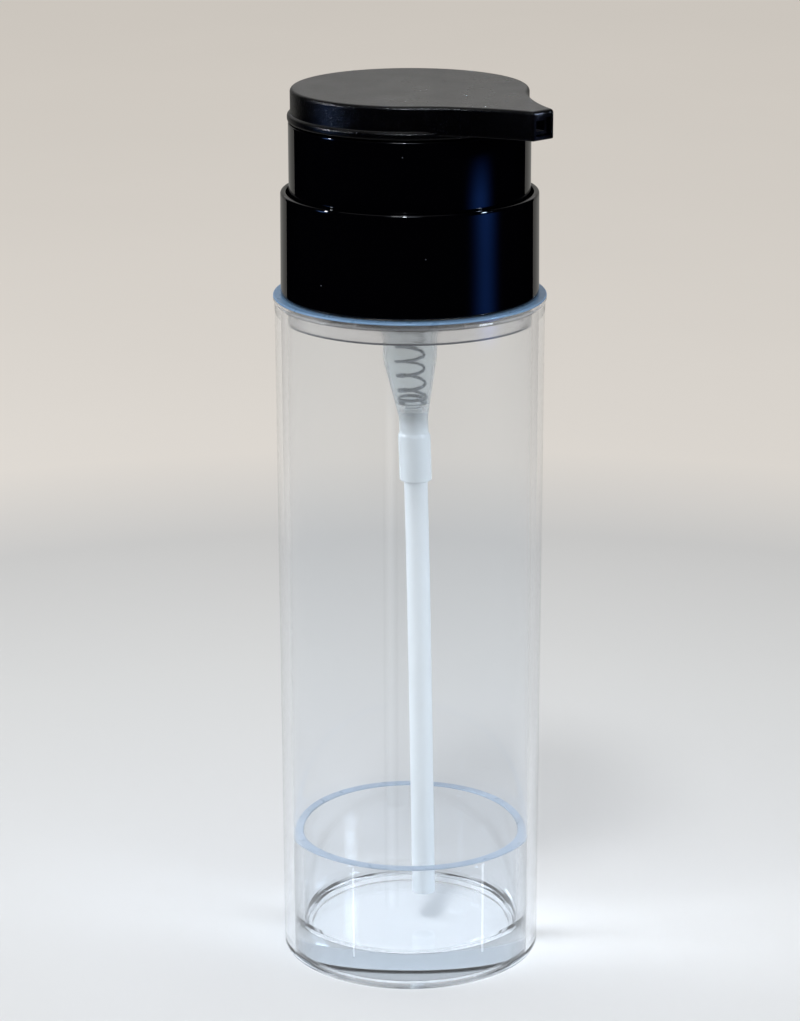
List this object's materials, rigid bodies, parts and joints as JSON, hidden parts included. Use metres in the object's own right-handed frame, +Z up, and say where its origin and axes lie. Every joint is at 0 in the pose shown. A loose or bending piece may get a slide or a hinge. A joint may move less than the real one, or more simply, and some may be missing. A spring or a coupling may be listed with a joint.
{
  "type": "soap pump dispenser",
  "caption": "Free-standing clear round bottle with a screw-on spring pump and a black press-down head with a short spout, for liquid soap.",
  "frame": {"origin": "centre of the flat underside of the base", "axes": "+Z up along the bottle's axis, the spout points along -Y"},
  "size_m": [0.049, 0.058, 0.1626],
  "materials": {
    "clear_plastic": "clear polished moulded plastic",
    "gloss_black": "glossy black moulded plastic",
    "satin_black": "fine-textured black moulded plastic",
    "seal": "soft pale sealing plastic",
    "natural_plastic": "natural translucent moulded plastic",
    "white_plastic": "plain white moulded plastic",
    "milky_tube": "milky extruded tube",
    "steel": "drawn spring steel"
  },
  "bodies": {
    "bottle": {"bottle_tube": "clear_plastic", "base_cup": "clear_plastic", "neck_insert": "clear_plastic"},
    "pump_body": {"pump_housing": "natural_plastic", "housing_cap": "white_plastic", "closure_gasket": "seal", "dip_tube": "milky_tube", "return_spring": "steel"},
    "closure": {"collar_shell": "gloss_black", "screw_ring": "satin_black"},
    "plunger": {"stem": "white_plastic", "piston_rod": "white_plastic"},
    "piston": {"piston": "seal"},
    "head": {"actuator_cap": "satin_black", "actuator_core": "satin_black", "actuator_sleeve": "gloss_black"},
    "inlet_ball": {"inlet_ball": "steel"}
  },
  "joints": [
    {"name": "closure_lift", "type": "slide", "parent": "bottle", "child": "pump_body", "axis": [0, 0, 1], "range_m": [0, 0.00397]},
    {"name": "closure_turn", "type": "hinge", "parent": "pump_body", "child": "closure", "pos_m": [0, 0, 0.1328], "axis": [0, 0, 1], "range_deg": [0, 450]},
    {"name": "head_press", "type": "slide", "parent": "pump_body", "child": "plunger", "axis": [0, 0, -1], "range_m": [0, 0.009], "stiffness_N_per_m": 1200, "springref_m": -0.004, "deforming": ["return_spring"]},
    {"name": "head_turn", "type": "hinge", "parent": "plunger", "child": "head", "pos_m": [0, 0, 0.1534], "axis": [0, 0, 1], "continuous": true},
    {"name": "piston_lag", "type": "slide", "parent": "plunger", "child": "piston", "axis": [0, 0, 1], "range_m": [0, 0.0008]},
    {"name": "ball_lift", "type": "slide", "parent": "pump_body", "child": "inlet_ball", "axis": [0, 0, 1], "range_m": [0, 0.0008]}
  ],
  "couplings": [
    {"joint": "closure_lift", "follows": "closure_turn", "m_per_rad": 0.00050532}
  ]
}
